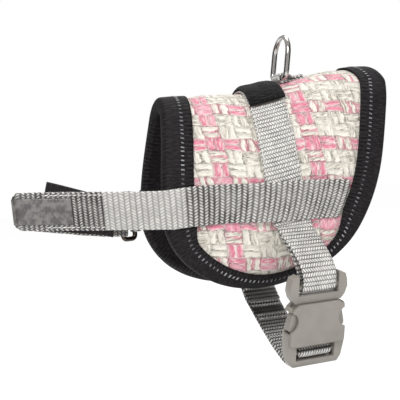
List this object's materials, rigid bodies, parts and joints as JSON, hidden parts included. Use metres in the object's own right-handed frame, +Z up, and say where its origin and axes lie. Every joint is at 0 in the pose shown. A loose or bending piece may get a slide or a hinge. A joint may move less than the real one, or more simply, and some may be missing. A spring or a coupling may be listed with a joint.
{
  "type": "no pull harness",
  "caption": "Small-dog back-clip harness: padded tweed saddle bound in grosgrain, webbing girth and chest straps, release buckle, lead ring and handle.",
  "frame": {"origin": "underside of the saddle on its ridge, above the girth strap, where the saddle lies on the dog's back", "axes": "+X along the spine to the tail, -Y to the buckle side, +Z up out of the back"},
  "size_m": [0.1987, 0.0886, 0.1701],
  "materials": {
    "tweed": "woven check in cream, grey and pink",
    "foam": "soft foam, covered",
    "lining": "black knitted mesh",
    "grosgrain": "ribbed black grosgrain tape",
    "reflective": "grey reflective thread and tape",
    "webbing": "coarse grey woven webbing",
    "hook_and_loop": "black hook and loop tape",
    "ring_steel": "dull plated wire",
    "lead_steel": "bright plated wire",
    "buckle_plastic": "warm grey moulded plastic",
    "fleece": "fuzzy black padded cloth"
  },
  "bodies": {
    "harness": {"saddle_shell": "tweed", "saddle_padding": "foam", "saddle_lining": "lining", "edge_binding": "grosgrain", "reflective_thread": "reflective", "girth_strap_near": "webbing", "girth_strap_return": "webbing", "girth_strap_far": "webbing", "belly_strap": "webbing", "chest_strap_near": "webbing", "chest_strap_far": "webbing", "reflective_tape": "reflective", "loop_tape": "hook_and_loop", "chest_tail": "webbing", "chest_ring": "ring_steel", "anchor_strap": "webbing", "anchor_return": "webbing", "buckle_male": "buckle_plastic", "lead_ring_tab": "webbing", "handle_webbing": "webbing", "handle_sleeve": "fleece"},
    "lead_ring": {"lead_ring": "lead_steel"},
    "socket": {"buckle_female": "buckle_plastic", "belly_strap_return": "webbing"},
    "prong_front": {"buckle_prong_front": "buckle_plastic"},
    "prong_rear": {"buckle_prong_rear": "buckle_plastic"},
    "hook_patch": {"hook_tape": "hook_and_loop"}
  },
  "joints": [
    {"name": "lead_ring_swing", "type": "hinge", "parent": "harness", "child": "lead_ring", "pos_m": [0.0136, 0, 0.01359], "axis": [0, 1, 0], "range_deg": [-95, 70]},
    {"name": "buckle_release", "type": "slide", "parent": "harness", "child": "socket", "axis": [-0.042, 0.2382, -0.9703], "range_m": [0, 0.02], "deforming": ["belly_strap"]},
    {"name": "prong_front_squeeze", "type": "hinge", "parent": "harness", "child": "prong_front", "pos_m": [-0.00378, -0.04471, -0.10244], "axis": [0.1685, -0.9556, -0.2419], "range_deg": [0, 26]},
    {"name": "prong_rear_squeeze", "type": "hinge", "parent": "harness", "child": "prong_rear", "pos_m": [0.01749, -0.04096, -0.10244], "axis": [-0.1685, 0.9556, 0.2419], "range_deg": [0, 26]},
    {"name": "hook_peel", "type": "hinge", "parent": "harness", "child": "hook_patch", "pos_m": [-0.07694, 0.02303, -0.05298], "axis": [0.2905, 0.0513, 0.9555], "range_deg": [0, 20]}
  ],
  "couplings": [
    {"joint": "prong_front_squeeze", "follows": "buckle_release", "rad_per_m": 22.689},
    {"joint": "prong_rear_squeeze", "follows": "buckle_release", "rad_per_m": 22.689}
  ]
}
